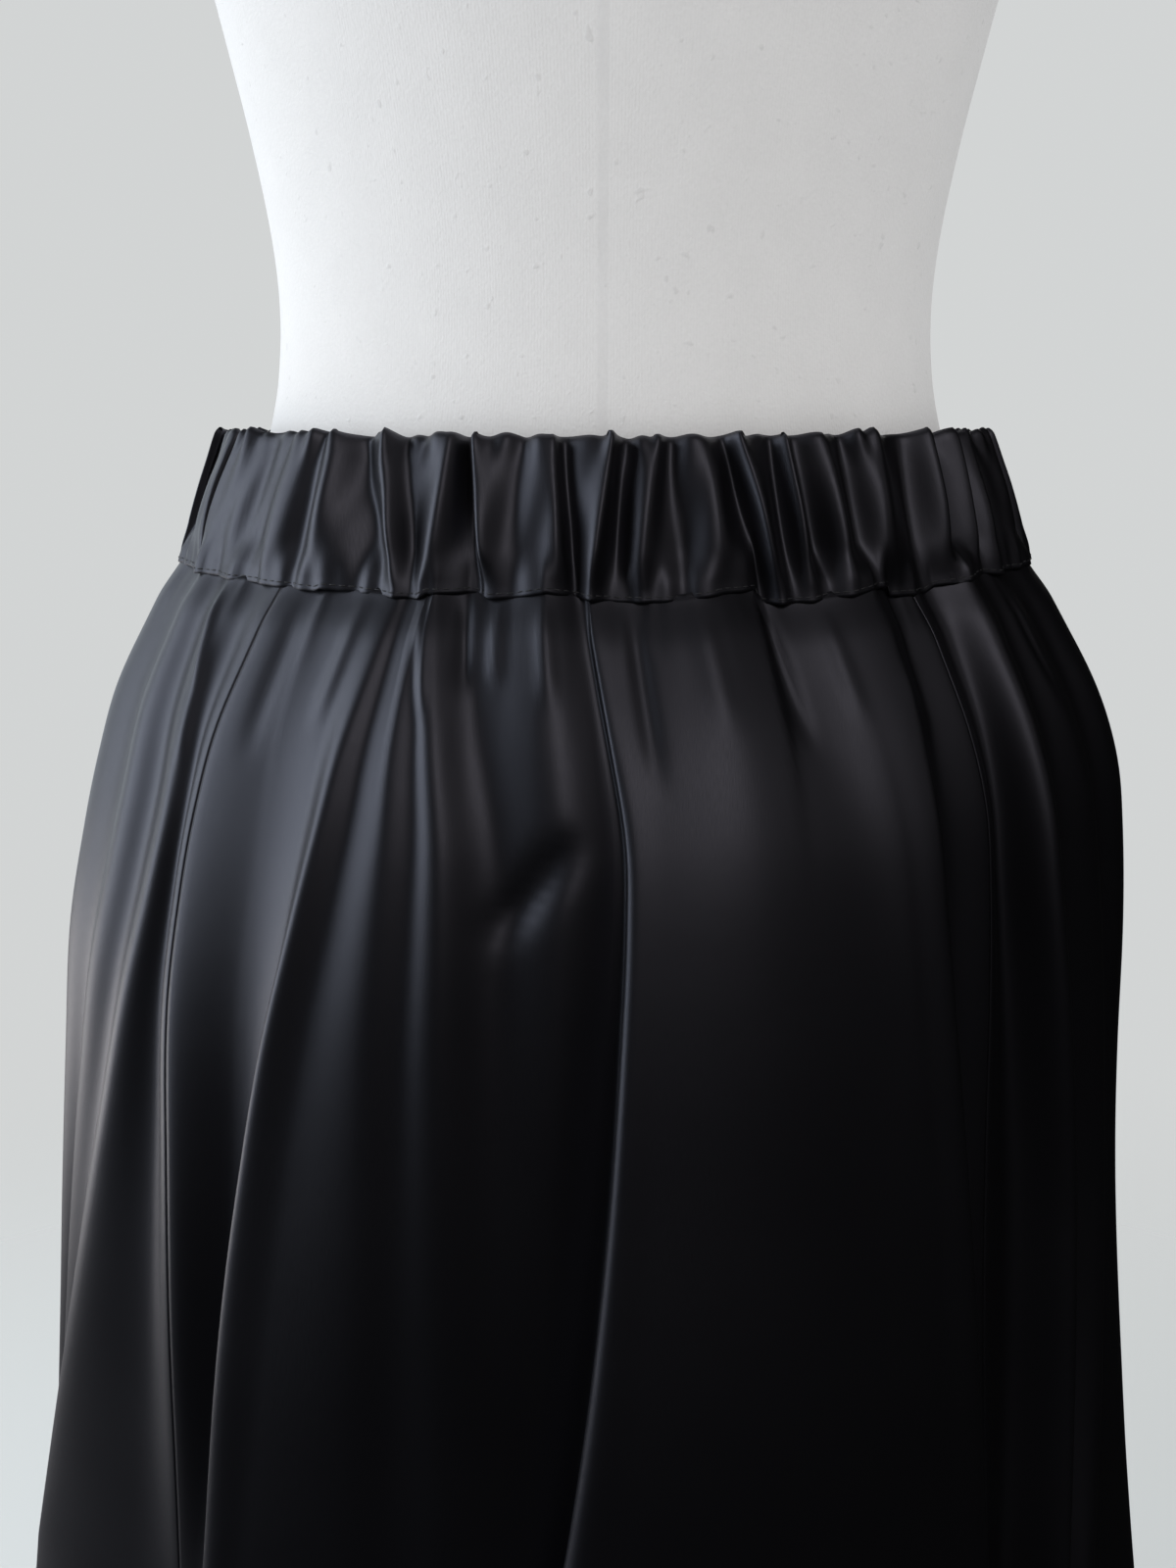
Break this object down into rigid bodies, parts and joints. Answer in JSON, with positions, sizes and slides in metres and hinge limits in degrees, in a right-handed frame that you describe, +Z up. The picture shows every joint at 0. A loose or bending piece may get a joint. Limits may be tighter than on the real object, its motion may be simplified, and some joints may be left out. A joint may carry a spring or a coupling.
{
  "type": "balloon maxi skirt on dress form",
  "caption": "Long gored balloon skirt of black satin with a gathered elastic waistband, on a limbless jersey dress form with a pole and round foot.",
  "frame": {"origin": "middle of the round foot's underside, on the floor", "axes": "+Z up along the pole, -Y towards the front of the skirt, +X to the right as seen from the front"},
  "size_m": [0.5315, 0.4832, 1.496],
  "materials": {
    "satin": "heavy black satin, soft sheen",
    "jersey": "matt off-white jersey over a padded form",
    "stand_paint": "off-white powder coat"
  },
  "bodies": {
    "root": {"waistband": "satin", "panel_front": "satin", "panel_right": "satin", "panel_back": "satin", "panel_left": "satin", "hem_band": "satin", "form_torso": "jersey", "stand_pole": "stand_paint", "stand_base": "stand_paint"}
  },
  "joints": []
}
